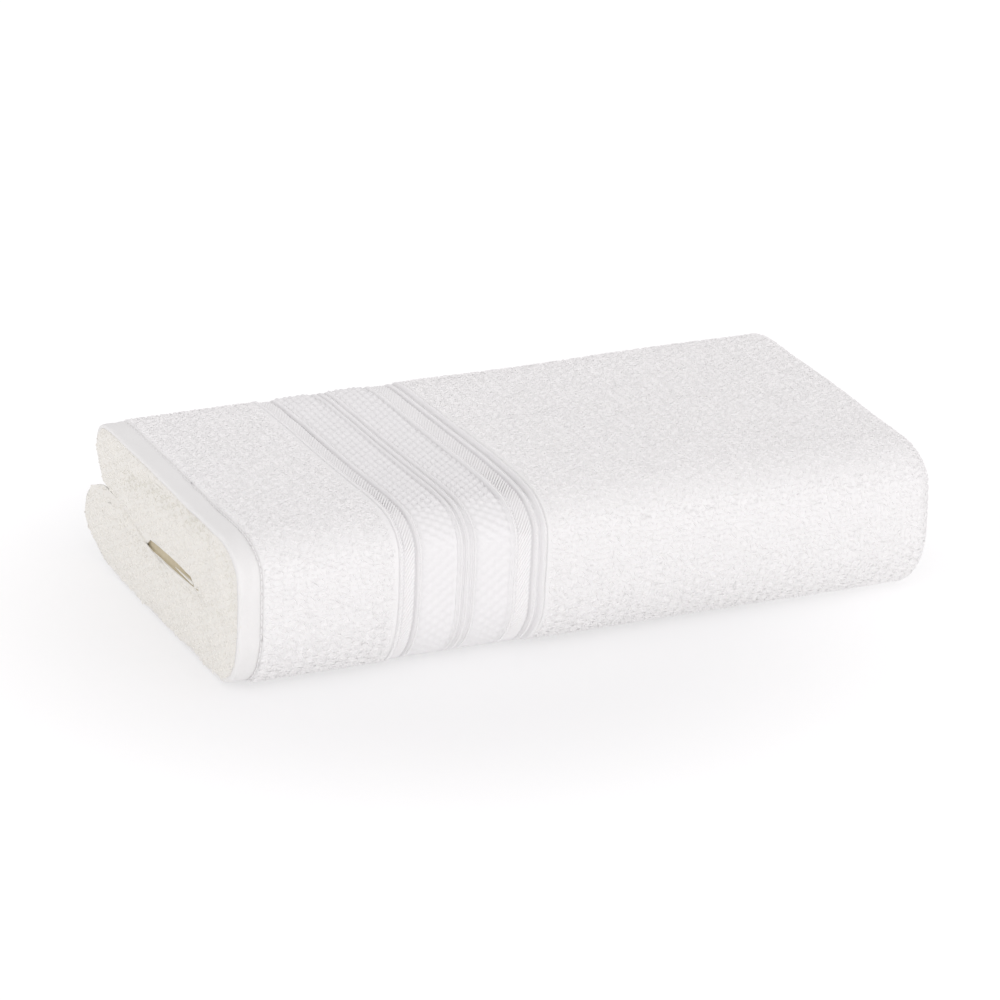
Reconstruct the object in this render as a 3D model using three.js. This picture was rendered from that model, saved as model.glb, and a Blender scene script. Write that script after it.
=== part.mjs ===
// A folded terry bath towel, in millimetres with +Z up. It is one cloth, about 650 mm wide and
// 1390 mm long. It is first folded in four along its length, which makes a stack of four plies:
// the hemmed end outside, then the other hemmed end, then the two plies that the first fold joins.
// Both long edges of that stack are then turned in, and the whole is folded in half over them.
// X runs along the pack from the hemmed end (-X) to the folded end (+X), the rounded front fold is
// at -Y, the two loose folds are at +Y, one over the other, and the pack rests on Z = 0.
import * as THREE from "three";

// Driving dimensions.
const PACK_LENGTH = 350;
const PACK_DEPTH = 206.7;
const PACK_HEIGHT = 73.7;
const CLOTH = 4.5; // one ply with its pile, in an evenly pressed stack
const HEM_CLOTH = 2.4; // the hem has no pile
const GAP = 0.5; // air between plies
const HEM = 11.3; // width of the turned and stitched hem
const HEM_STEP = 1.5; // length over which the pile gives way to the hem
const HEM_DROOP = 2; // how far the free edge of the outer hem sinks
const SHORT_HEM = 3; // the inner hemmed end stops this much short of the outer one
const SHORT_FOLD = 2; // and the fold beside it this much

const PLY = { hem: 0, innerHem: 1, inner: 2, innermost: 3 };
const PITCH = CLOTH + GAP;
const STACK = 4 * CLOTH + 3 * GAP;
const LEFT = -PACK_LENGTH / 2;
const RIGHT = PACK_LENGTH / 2;
const FRONT = -PACK_DEPTH / 2;
const BACK = PACK_DEPTH / 2;
const TOP = PACK_HEIGHT;

// Steps round the folds of the stack, and along its plies.
const OUTER_TURN_STEPS = 8; // even, so that one station lies on the very end
const INNER_TURN_STEPS = 6;
const RUN_STEPS = 4;

// ---- The stack: one cloth folded along its length, drawn in the X-depth plane ----
// A station is a pair of points, on the two faces of the cloth, each { x, depth }, where depth is
// how far the point lies inside the pack's outer face.

const plyMiddle = (ply) => ply * PITCH + CLOTH / 2;

// One station of a straight ply. The cloth's faces swap sides each time it turns back.
function across(ply, x, facing, thickness) {
  const middle = plyMiddle(ply);
  return [
    { x, depth: middle - (facing * thickness) / 2 },
    { x, depth: middle + (facing * thickness) / 2 },
  ];
}

function run(ply, xs, facing) {
  return xs.map((x) => across(ply, x, facing, CLOTH));
}

// The hem at the end of a ply, from its free edge inwards.
function hem(ply, edge, facing) {
  return [
    across(ply, edge, facing, HEM_CLOTH),
    across(ply, edge + HEM / 2, facing, HEM_CLOTH),
    across(ply, edge + HEM, facing, HEM_CLOTH),
    across(ply, edge + HEM + HEM_STEP, facing, CLOTH),
  ];
}

// A half turn from one ply to another, about x; side is +1 at the right end and -1 at the left end.
function turn(fromPly, toPly, x, side, facing, steps) {
  const from = plyMiddle(fromPly);
  const to = plyMiddle(toPly);
  const centre = (from + to) / 2;
  const radius = Math.abs(to - from) / 2;
  const way = Math.sign(to - from);
  const stations = [];
  for (let step = 1; step < steps; step += 1) {
    const angle = (Math.PI * step) / steps;
    const point = (r) => ({
      x: x + side * r * Math.sin(angle),
      depth: centre - way * r * Math.cos(angle),
    });
    const faces = [point(radius + CLOTH / 2), point(radius - CLOTH / 2)];
    stations.push(facing * way > 0 ? faces : faces.reverse());
  }
  return stations;
}

// The x of each station along a run, evenly spaced.
function spaced(from, to, steps) {
  return Array.from({ length: steps + 1 }, (_, i) => from + ((to - from) * i) / steps);
}

function stackStations() {
  const outerRadius = (plyMiddle(PLY.innermost) - plyMiddle(PLY.hem)) / 2 + CLOTH / 2;
  const foldRadius = (plyMiddle(PLY.innermost) - plyMiddle(PLY.inner)) / 2 + CLOTH / 2;
  const rightTurn = RIGHT - outerRadius;
  const leftTurn = LEFT + SHORT_FOLD + foldRadius;
  const hemmed = LEFT + SHORT_HEM + HEM + HEM_STEP;
  const forward = spaced(hemmed, rightTurn, RUN_STEPS);
  const backward = [...forward].reverse();
  const { hem: outer, innerHem, inner, innermost } = PLY;
  return [
    ...hem(outer, LEFT, 1),
    ...run(outer, forward, 1),
    ...turn(outer, innermost, rightTurn, 1, 1, OUTER_TURN_STEPS),
    ...run(innermost, [...backward, leftTurn], -1),
    ...turn(innermost, inner, leftTurn, -1, -1, INNER_TURN_STEPS),
    ...run(inner, [leftTurn, ...forward], 1),
    ...turn(inner, innerHem, rightTurn, 1, 1, INNER_TURN_STEPS),
    ...run(innerHem, backward.slice(0, -1), -1),
    ...hem(innerHem, LEFT + SHORT_HEM, -1).reverse(),
  ];
}

// ---- The section: the path on which the stack is folded across its width, in the Y-Z plane ----
// It has two lines, the stack's outer face and its inner face, with the plies spread evenly between.

// The rounded end of a fold: a quarter ellipse above, a straight, and a quarter ellipse below.
// side is +1 at the back and -1 at the front; tip is the furthest y.
const FOLDS = {
  upperOuter: { side: 1, tip: 85.5, high: TOP, low: 40.6, highReach: 16, highDrop: 17, lowReach: 9, lowRise: 12 },
  upperInner: { side: 1, tip: 69, high: 57.3, low: 56.8, highReach: 0.5, highDrop: 0.2, lowReach: 0.5, lowRise: 0.2 },
  frontOuter: { side: -1, tip: FRONT, high: TOP, low: 0, highReach: 29.7, highDrop: 14.3, lowReach: 26.8, lowRise: 33.5 },
  frontInner: { side: -1, tip: -75, high: 49, low: 20.5, highReach: 9, highDrop: 12, lowReach: 9, lowRise: 12 },
  lowerOuter: { side: 1, tip: BACK, high: 39, low: 0, highReach: 50, highDrop: 19, lowReach: 58, lowRise: 19.5 },
  lowerInner: { side: 1, tip: 84, high: 19.7, low: 19.2, highReach: 0.5, highDrop: 0.2, lowReach: 0.5, lowRise: 0.2 },
};
const FOLD_STEPS = { upper: 4, front: 5, lower: 5 }; // steps in each quarter

// The runs between the folds, a row for each place where the cloth bends, swells or ends.
const UPPER_RETURN = [
  { place: "edge", outerY: -30, outerZ: 34.2, innerY: -66, innerZ: 46.5 },
  { place: "over the slot", outerY: -8, outerZ: 35.8, innerY: -24, innerZ: 52.4 },
  { place: "over the lower edge", outerY: 19, outerZ: 36.6, innerY: 14, innerZ: 54.8 },
  { place: "below the crease", outerY: 46, outerZ: 39.3, innerY: 42, innerZ: 55 },
];
const TOP_RUN = [
  { place: "over the crease", outerY: 44, outerZ: TOP, innerY: 42, innerZ: 57.4 },
  { place: "over the lower edge", outerY: 14, outerZ: TOP, innerY: 14, innerZ: 56 },
  { place: "over the slot", outerY: -14, outerZ: TOP, innerY: -16, innerZ: 54.4 },
  { place: "over the upper edge", outerY: -44, outerZ: TOP, innerY: -42, innerZ: 51.8 },
];
const BOTTOM_RUN = [
  { place: "behind the front fold", outerY: -50, outerZ: 0, innerY: -46, innerZ: 19.6 },
  { place: "under the slot", outerY: -20, outerZ: 0, innerY: -18, innerZ: 17.6 },
  { place: "under the lower edge", outerY: 10, outerZ: 0, innerY: 12, innerZ: 16.8 },
  { place: "before the lower lobe", outerY: 32, outerZ: 0, innerY: 40, innerZ: 17.6 },
];
const LOWER_RETURN = [
  { place: "past the notch", outerY: 40, outerZ: 38.1, innerY: 42, innerZ: 18.3 },
  { place: "before its edge", outerY: 30, outerZ: 37.1, innerY: 8, innerZ: 17.4 },
  { place: "edge", outerY: 19, outerZ: 36, innerY: -60, innerZ: 21.6 },
];

// Points round a fold from its high end to its low end.
function foldLine(fold, steps) {
  const points = [];
  for (let step = 0; step <= steps; step += 1) {
    const angle = (Math.PI * step) / (2 * steps);
    points.push({
      y: fold.tip - fold.side * fold.highReach * (1 - Math.sin(angle)),
      z: fold.high - fold.highDrop * (1 - Math.cos(angle)),
    });
  }
  for (let step = 0; step <= steps; step += 1) {
    const angle = (Math.PI * step) / (2 * steps);
    points.push({
      y: fold.tip - fold.side * fold.lowReach * (1 - Math.cos(angle)),
      z: fold.low + fold.lowRise * (1 - Math.sin(angle)),
    });
  }
  return points;
}

// One section station is { outer, inner }, two points of the Y-Z plane.
function foldStations(name, downward) {
  const steps = FOLD_STEPS[name];
  const outer = foldLine(FOLDS[`${name}Outer`], steps);
  const inner = foldLine(FOLDS[`${name}Inner`], steps);
  const stations = outer.map((point, i) => ({ outer: point, inner: inner[i] }));
  return downward ? stations : stations.reverse();
}

function runStations(rows) {
  return rows.map((row) => ({
    outer: { y: row.outerY, z: row.outerZ },
    inner: { y: row.innerY, z: row.innerZ },
  }));
}

function sectionStations() {
  return [
    ...runStations(UPPER_RETURN),
    ...foldStations("upper", false),
    ...runStations(TOP_RUN),
    ...foldStations("front", true),
    ...runStations(BOTTOM_RUN),
    ...foldStations("lower", false),
    ...runStations(LOWER_RETURN),
  ];
}

// ---- The cloth: every station of the stack carried along the section ----

// The free edge of the outer hem sinks a little, except where it lies under the pack.
function droop(point, station) {
  const share = (LEFT + HEM - point.x) / HEM;
  if (point.depth > CLOTH || share < 0) return 0;
  const offTheFloor = Math.min(1, station.outer.z / (TOP / 4));
  return HEM_DROOP * share * share * offTheFloor;
}

function place(point, station) {
  const share = (point.depth + droop(point, station)) / STACK;
  const y = station.outer.y + (station.inner.y - station.outer.y) * share;
  const z = station.outer.z + (station.inner.z - station.outer.z) * share;
  return [point.x, y, z];
}

// A closed sheet: face 0 and face 1 of the cloth, and the four edges between them.
function foldedCloth() {
  const stack = stackStations();
  const section = sectionStations();
  const positions = [];
  for (const face of [0, 1]) {
    for (const pair of stack) {
      for (const station of section) positions.push(...place(pair[face], station));
    }
  }
  const rows = stack.length;
  const columns = section.length;
  const vertex = (face, row, column) => (face * rows + row) * columns + column;
  const index = [];
  const quad = (a, b, c, d) => index.push(a, b, c, a, c, d);
  for (let row = 0; row + 1 < rows; row += 1) {
    for (let column = 0; column + 1 < columns; column += 1) {
      const corners = (face) => [
        vertex(face, row, column),
        vertex(face, row, column + 1),
        vertex(face, row + 1, column + 1),
        vertex(face, row + 1, column),
      ];
      quad(...corners(0));
      const [a, b, c, d] = corners(1);
      index.push(a, c, b, a, d, c);
    }
  }
  const edge = (row, column, nextRow, nextColumn) => {
    quad(vertex(0, row, column), vertex(0, nextRow, nextColumn), vertex(1, nextRow, nextColumn), vertex(1, row, column));
  };
  for (let row = 0; row + 1 < rows; row += 1) {
    edge(row, 0, row + 1, 0);
    edge(row + 1, columns - 1, row, columns - 1);
  }
  for (let column = 0; column + 1 < columns; column += 1) {
    edge(0, column + 1, 0, column);
    edge(rows - 1, column, rows - 1, column + 1);
  }
  const geometry = new THREE.BufferGeometry();
  geometry.setAttribute("position", new THREE.Float32BufferAttribute(positions, 3));
  geometry.setIndex(index);
  geometry.computeVertexNormals();
  return geometry;
}

const terry = new THREE.MeshStandardMaterial({ color: 0xf1efeb, roughness: 0.95, metalness: 0 });
const towel = new THREE.Mesh(foldedCloth(), terry);
towel.name = "towel";

const object = new THREE.Group();
object.add(towel);

export default object;
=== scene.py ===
import math

import bpy
import numpy as np
from mathutils import Matrix, Vector
from mathutils.bvhtree import BVHTree


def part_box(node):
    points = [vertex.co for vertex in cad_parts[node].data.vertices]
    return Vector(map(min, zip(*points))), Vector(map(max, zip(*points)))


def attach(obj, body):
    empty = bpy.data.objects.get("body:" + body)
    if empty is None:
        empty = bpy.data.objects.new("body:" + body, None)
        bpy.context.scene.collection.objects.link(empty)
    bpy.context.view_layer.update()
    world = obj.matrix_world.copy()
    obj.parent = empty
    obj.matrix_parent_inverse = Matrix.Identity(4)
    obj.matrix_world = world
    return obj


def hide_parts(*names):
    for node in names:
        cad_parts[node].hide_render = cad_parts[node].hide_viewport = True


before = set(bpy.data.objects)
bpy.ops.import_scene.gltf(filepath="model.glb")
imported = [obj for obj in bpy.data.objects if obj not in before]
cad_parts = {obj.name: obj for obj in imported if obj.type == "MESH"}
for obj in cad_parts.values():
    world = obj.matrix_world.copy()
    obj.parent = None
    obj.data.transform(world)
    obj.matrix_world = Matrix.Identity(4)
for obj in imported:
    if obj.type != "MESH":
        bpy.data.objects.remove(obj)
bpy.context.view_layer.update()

# Lengths here are in millimetres until a mesh is made. The shape is the CAD part's: a cloth folded
# in four along its length (the stack: X and depth), whose long edges are turned in and which is
# then folded in half (the section: Y and Z).
MM = 0.001
low, high = (np.array(c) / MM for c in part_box("towel"))
LEFT, RIGHT = low[0], high[0]
FRONT, BACK = low[1], high[1]
TOP = high[2]
CLOTH, HEM_CLOTH, GAP = 4.5, 2.4, 0.5
PITCH = CLOTH + GAP
STACK = 4 * CLOTH + 3 * GAP
HEM = 11.3
random = np.random.default_rng(11)

# ---- the section
# Each face of a fold is two quarter ellipses that meet at its tip. Columns: the side it points to,
# the tip's y, the z of its upper and its lower end, then the reach and height of the upper quarter
# and of the lower one.
FOLDS = {
    "upper_outer": (1, 85.5, TOP, 40.6, (16, 17), (9, 12)),
    "upper_inner": (1, 69, 57.3, 56.8, (0.5, 0.2), (0.5, 0.2)),
    "front_outer": (-1, FRONT, TOP, 0, (29.7, 14.3), (26.8, 33.5)),
    "front_inner": (-1, -75, 49, 20.5, (9, 12), (9, 12)),
    "lower_outer": (1, BACK, 39, 0, (50, 19), (58, 19.5)),
    "lower_inner": (1, 84, 19.7, 19.2, (0.5, 0.2), (0.5, 0.2)),
}
# The steps of each fold's quarters, and whether the path goes down round it.
FOLD_STEPS = dict(upper=(8, False), front=(10, True), lower=(10, False))
# Stations of the runs between the folds. Columns: outer y and z, inner y and z.
RUNS = dict(
    upper_return=[(-30, 34.2, -66, 46.5), (-8, 35.8, -24, 52.4), (19, 36.6, 14, 54.8), (46, 39.3, 42, 55)],
    top_run=[(44, TOP, 42, 57.4), (14, TOP, 14, 56), (-14, TOP, -16, 54.4), (-44, TOP, -42, 51.8)],
    bottom_run=[(-50, 0, -46, 19.6), (-20, 0, -18, 17.6), (10, 0, 12, 16.8), (32, 0, 40, 17.6)],
    lower_return=[(40, 38.1, 42, 18.3), (30, 37.1, 8, 17.4), (19, 36, -60, 21.6)],
)


def fold_line(fold, steps):
    """One face of a fold, as points (y, z) from its upper end to its lower one."""
    side, tip, z_high, z_low, (high_reach, high_drop), (low_reach, low_rise) = fold
    a = np.linspace(0, math.pi / 2, steps + 1)
    upper = [tip - side * high_reach * (1 - np.sin(a)), z_high - high_drop * (1 - np.cos(a))]
    lower = [tip - side * low_reach * (1 - np.cos(a)), z_low + low_rise * (1 - np.sin(a))]
    return np.concatenate([np.stack(upper, 1), np.stack(lower, 1)])


def fold_stations(name):
    steps, downward = FOLD_STEPS[name]
    both = [fold_line(FOLDS[f"{name}_{face}"], steps) for face in ("outer", "inner")]
    rows = np.concatenate(both, 1)
    return rows if downward else rows[::-1]


def smooth_line(points, chords, steps):
    """A cubic through points, whose spacing is chords, with that many steps between two of them."""
    slopes = np.diff(points, axis=0) / chords[:, None]
    before, after = chords[:-1, None], chords[1:, None]
    inside = (slopes[:-1] * after + slopes[1:] * before) / (before + after)
    tangents = np.concatenate([slopes[:1], inside, slopes[-1:]])
    t = (np.arange(steps) / steps)[None, :, None]
    p, q = points[:-1, None], points[1:, None]
    m, n = tangents[:-1, None] * chords[:, None, None], tangents[1:, None] * chords[:, None, None]
    body = ((2 * t**3 - 3 * t**2 + 1) * p + (t**3 - 2 * t**2 + t) * m
            + (-2 * t**3 + 3 * t**2) * q + (t**3 - t**2) * n)
    return np.concatenate([body.reshape(-1, points.shape[1]), points[-1:]])


segments = []
for run, fold in zip(RUNS.values(), (*FOLD_STEPS, None)):
    segments.append(np.array(run, float))
    if fold:
        segments.append(fold_stations(fold))
FINE = 10  # steps of the path between two stations
INNER_WEIGHT = 0.3  # how much the inner face counts in the spacing of the stations
stations = np.concatenate(segments)
outer_way, inner_way = (np.hypot(*np.diff(stations[:, k:k + 2], axis=0).T) for k in (0, 2))
chords = outer_way + INNER_WEIGHT * inner_way + 0.01
LINE = smooth_line(stations, chords, FINE)
S = np.concatenate([[0], np.cumsum(np.hypot(*np.diff(LINE[:, :2], axis=0).T))])
S_END = S[-1]
# Where each segment starts and ends along the path. A run reaches from fold to fold.
counts = np.cumsum([len(rows) for rows in segments])
breaks = [0]
for k in (0, 2, 4):
    breaks += [S[counts[k] * FINE], S[(counts[k + 1] - 1) * FINE]]
names = ("upper_return", "upper_fold", "top_run", "front_fold", "bottom_run", "lower_fold", "lower_return")
SPAN = dict(zip(names, zip(breaks, [*breaks[1:], S_END])))


def at(segment, share):
    """A place along the path, by its share of a segment."""
    start, end = SPAN[segment]
    return start + (end - start) * share


def table(**segments):
    """Looks up columns by the place along the section. Each segment has rows of (share, values...)."""
    keys = [at(segment, row[0]) for segment, rows in segments.items() for row in rows]
    values = np.array([row[1:] for rows in segments.values() for row in rows], float)
    return lambda s: np.stack([np.interp(s, keys, column) for column in values.T], -1)


step = np.gradient(LINE[:, :2], S, axis=0)
step /= np.hypot(*step.T)[:, None]
NORMAL = np.stack([step[:, 1], -step[:, 0]], 1)  # outwards, in Y and Z


def unit(vectors):
    """The same directions, at length 1."""
    return vectors / np.linalg.norm(vectors, axis=-1, keepdims=True)


def section(s):
    """Outer point, inner point and outward normal, each (y, z), at the place s along the path."""
    columns = [np.interp(s, S, c) for c in (*LINE.T, *NORMAL.T)]
    o, i, n = (np.stack(columns[k:k + 2], -1) for k in (0, 2, 4))
    return o, i, unit(n)


def in_section(s, depth):
    """The point (y, z) at that depth under the outer point at s."""
    o, i, _ = section(s)
    return o + (i - o) * (np.asarray(depth) / STACK)[..., None]


def with_x(x, yz):
    """Points from their X and their (y, z)."""
    return np.concatenate([np.broadcast_to(x, yz.shape[:-1])[..., None], yz], -1)


def smoothstep(a, b, x):
    t = np.clip((x - a) / (b - a), 0, 1)
    return t * t * (3 - 2 * t)


def ramp(segment, start, end, s):
    """0 before one place in a segment and 1 after another, given as shares of it."""
    return smoothstep(at(segment, start), at(segment, end), s)


# ---- the border
# Its first and fourth groove, which aren't quite straight on the folded pack.
BORDER_LINES = table(
    upper_return=[(0, -90.4, -31.4)],
    upper_fold=[(0.5, -90.6, -31.6)],
    top_run=[
        (0, -90.3, -31.3), (0.21, -88.6, -29.7), (0.49, -87.9, -28.2), (0.7, -87.5, -27.5),
        (0.9, -87.3, -28.1),
    ],
    front_fold=[
        (0.1, -87.9, -29.8), (0.32, -89.3, -31.8), (0.54, -89.5, -32.8), (0.7, -90.2, -32.8),
        (0.85, -90.6, -34),
    ],
    bottom_run=[(0.2, -91, -34)],
    lower_fold=[(0.5, -91, -33)],
    lower_return=[(1, -91, -33)],
)
BORDER_WIDTH = 60  # about how far apart those two are
EDGE_1, EDGE_2 = -0.146, 1.112  # the terry's edges, in widths between those two grooves


def border_share(x, s):
    """Where x lies across the border: 0 on its first groove and 1 on its fourth."""
    lines = BORDER_LINES(s)
    return (x - lines[..., 0]) / (lines[..., 1] - lines[..., 0])


def border_x(share, s):
    lines = BORDER_LINES(s)
    return lines[..., 0] + share * (lines[..., 1] - lines[..., 0])


# ---- the outer face
PILE, END_PILE = 1.0, 0.7  # how far the pile stands above the ground weave
TURN_RADIUS = STACK / 2
TURN_X = RIGHT - TURN_RADIUS


def off_floor(s):
    """0 where the outer face rests on the floor, 1 where it is clear of it."""
    o, _, _ = section(s)
    return smoothstep(0.3, 7, o[..., 1])


def waves(a, s):
    """The cloth isn't quite flat: a slow swell, with none where it rests."""
    w = (0.45 * np.sin(a / 41 + 0.6) * np.sin(s / 37 + 1.1) + 0.3 * np.sin(a / 23 - s / 31 + 2.0)
         + 0.25 * np.sin(a / 67 + s / 19))
    return w * off_floor(s)


def sink(a, s):
    """How far the outer face lies inside the CAD's: where the border presses it, less the waves."""
    share = border_share(a, s)
    border = smoothstep(-0.37, -0.13, share) * (1 - smoothstep(1.08, 1.4, share))
    return 0.55 * border * off_floor(s) - waves(a, s)


def outer(a, s, depth=0.0):
    """A point of the outer face: a is X along the run and goes on as arc length round the right turn."""
    a, s = np.broadcast_arrays(np.asarray(a, float), np.asarray(s, float))
    down = depth + sink(a, s)
    angle = np.clip((a - TURN_X) / TURN_RADIUS, 0, math.pi)
    radius = TURN_RADIUS - down
    x = np.minimum(a, TURN_X) + np.where(a > TURN_X, radius * np.sin(angle), 0)
    d = np.where(a > TURN_X, TURN_RADIUS - radius * np.cos(angle), down)
    return with_x(x, in_section(s, d))


# ---- the left end
# How far the free edges stop short of the pack's end: outer hem, inner hem.
EDGES = table(
    upper_return=[(0, 8, 10), (0.75, 7, 9)],
    upper_fold=[(0.1, 4, 8), (0.35, 1, 7), (0.8, 0, 7)],
    top_run=[(0, 0, 7)],
    front_fold=[(0.5, 0, 7), (1, 0.3, 7)],
    bottom_run=[(1, 0.4, 8)],
    lower_fold=[(0.25, 0.4, 8), (0.42, 2, 9), (0.55, 7, 10)],
    lower_return=[(1, 10, 10)],
)
# The fold between the hems swells into the room that the thin hems leave, until it meets the next
# turn of the pack. Each row gives where it lies at the pack's end, on its near side to the hems and
# on its far side (y, z each), and how far it stops short of the pack's end.
SWELL = table(
    upper_return=[
        (0, -50, 27.5, -68, 69.6, 1.3), (0.07, -42, 32, -54, 69.8, 0),
        (0.1, -41, 37.4, -48, 70, 0), (0.2, -26, 37.8, -30, 68.3, 0),
        (0.3, -10, 37.6, -12, 66, 0), (0.38, 4, 36.9, 1, 65.3, 0),
        (0.42, 12.4, 36.3, 7, 64.9, 0), (0.45, 19.2, 31.4, 14, 64.4, 0),
        (0.6, 32, 34.4, 30, 60.3, 0), (0.72, 45, 37.5, 43, 57.8, 0),
        (0.9, 64, 40, 57, 57, 0.2),
    ],
    upper_fold=[
        (0.15, 76, 41.3, 62, 57, 0), (0.5, 82.5, 54, 66, 57.2, 0),
        (0.85, 75, 67, 62, 57.2, 0.1),
    ],
    top_run=[
        (0.08, 60, 69.2, 56, 57.2, 0.2), (0.25, 36, 69.4, 35, 58.2, 0.3),
        (0.33, 24, 69.5, 24, 62.8, 0.4), (0.4, 13, 69.6, 13, 64.9, 0.5),
        (0.55, -9, 69.8, -8, 65.6, 0.5), (0.7, -31, 70.2, -30, 68.2, 0.6),
        (0.85, -54, 70.4, -52, 69.8, 0.7), (1, -77, 69.8, -64, 67.8, 0.4),
    ],
    front_fold=[
        (0.15, -88, 66.7, -60, 58, 0.2), (0.35, -96.7, 55, -54, 48, 0),
        (0.5, -98.7, 42, -50, 38, 0), (0.62, -98.4, 34, -48, 31.5, 0),
        (0.75, -94.4, 20, -51, 30, -0.1), (0.9, -84, 8, -51, 29, -0.1),
        (1, -75, 3.2, -50, 28.6, -0.1),
    ],
    bottom_run=[
        (0.25, -46, 2.8, -43, 28.4, -0.1), (0.5, -17, 2.8, -12, 28.6, -0.2),
        (0.75, 12, 2.8, 14, 29, -0.2), (1, 46, 3, 42, 29, -0.2),
    ],
    lower_fold=[
        (0.25, 85, 7.2, 64, 29, -0.1), (0.5, 101, 19.5, 80, 27.7, 0),
        (0.62, 98.9, 26.8, 76, 28, 0), (0.69, 95.2, 31.2, 74, 28.1, 0),
        (0.75, 91.2, 34.9, 72, 28.2, 0), (0.88, 78, 40, 62, 28.6, 0),
        (1, 56, 39.4, 50, 29.1, 0),
    ],
    lower_return=[
        (0.3, 40, 36.4, 30, 28.8, 0), (0.6, 28, 33.8, 0, 28.5, 0),
        (0.8, 22, 31.4, -49, 28.4, 0), (0.86, 20.2, 31, -49, 33, 0),
        (0.89, 26, 30.6, -50, 33, 1.5), (1, 20, 39.2, -48, 39.4, 1.8),
    ],
)
# How sharply the fold's near side turns into its face: sharpest along the slot in the middle.
NEAR_CORNER = table(
    upper_return=[(0, 0.4), (0.46, 0.4), (0.6, 0.5), (0.9, 0.9)],
    upper_fold=[(0.3, 1.2), (1, 0.5)],
    front_fold=[(0.8, 0.5)],
    bottom_run=[(0.1, 0.6)],
    lower_fold=[(0.2, 0.7), (0.6, 1.2), (1, 0.8)],
    lower_return=[(0.8, 0.5), (1, 0.4)],
)
FAR_CORNER, MIN_CORNER = 0.35, 0.2
NEAR_OVERLAP, FAR_OVERLAP = 0.9, 1.7  # how far the fold's sides press into their neighbours
WALL, CORNER = 0.3, 0.42  # where, along its half profile, the fold's side turns into its end
SWELL_ROOT = LEFT + 17  # where the swelling starts
NEAR_DEPTH, FAR_DEPTH = 2 * PITCH, STACK  # how deep in the stack its two plies' outer sides lie
# Soft creases in the face that the folds make there: depth, half width, then points (y, z).
CREASES = [
    (1.9, 4.4, (45, 54.5), (34.7, 56), (15.8, 61.2), (-2.8, 61), (-26.5, 65.2), (-57.4, 70)),
    (0.9, 3.8, (86, 41.5), (64, 39.6), (45, 37.4), (32, 34.4), (19, 31.5)),
    (1.1, 3.2, (-40, 31.4), (-53.4, 31.3), (-69, 32.7), (-84.5, 34.1)),
    (0.7, 3.5, (60, 29.0), (23, 27.2), (11, 26), (-5, 27.8), (-21, 29.2), (-33, 29.9)),
    (1.0, 3.6, (-32, 62), (-52, 63.4), (-67.4, 63.9), (-81, 62.2), (-90, 58), (-92, 47), (-92, 33)),
]


def crease(yz):
    """How deep the creases are at each point (y, z) of the end."""
    deep = np.zeros(yz.shape[:-1])
    for depth, half, *line in CREASES:
        line = np.array(line, float)
        nearest = np.full(deep.shape, np.inf)
        for p, q in zip(line[:-1], line[1:]):
            way = q - p
            along = np.clip(((yz - p) @ way) / (way @ way), 0, 1)
            nearest = np.minimum(nearest, np.linalg.norm(yz - p - along[..., None] * way, axis=-1))
        deep += depth * np.exp(-(nearest / half) ** 2)
    return deep


def swell_rows(s):
    """The table's rows, with the near side kept just inside the hem where there is one."""
    rows = SWELL(s)
    beside_hem = (ramp("upper_fold", 0.3, 0.5, s) * (1 - ramp("lower_fold", 0.45, 0.62, s)))[..., None]
    o, _, normal = section(s)
    inside = o - normal * (1.6 + 0.6 * off_floor(s))[..., None]
    near = rows[..., 0:2] * (1 - beside_hem) + inside * beside_hem
    way = rows[..., 2:4] - near
    way /= np.maximum(np.linalg.norm(way, axis=-1, keepdims=True), 1e-6)
    return np.concatenate([near - NEAR_OVERLAP * way, rows[..., 2:4] + FAR_OVERLAP * way, rows[..., 4:]], -1)


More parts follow.
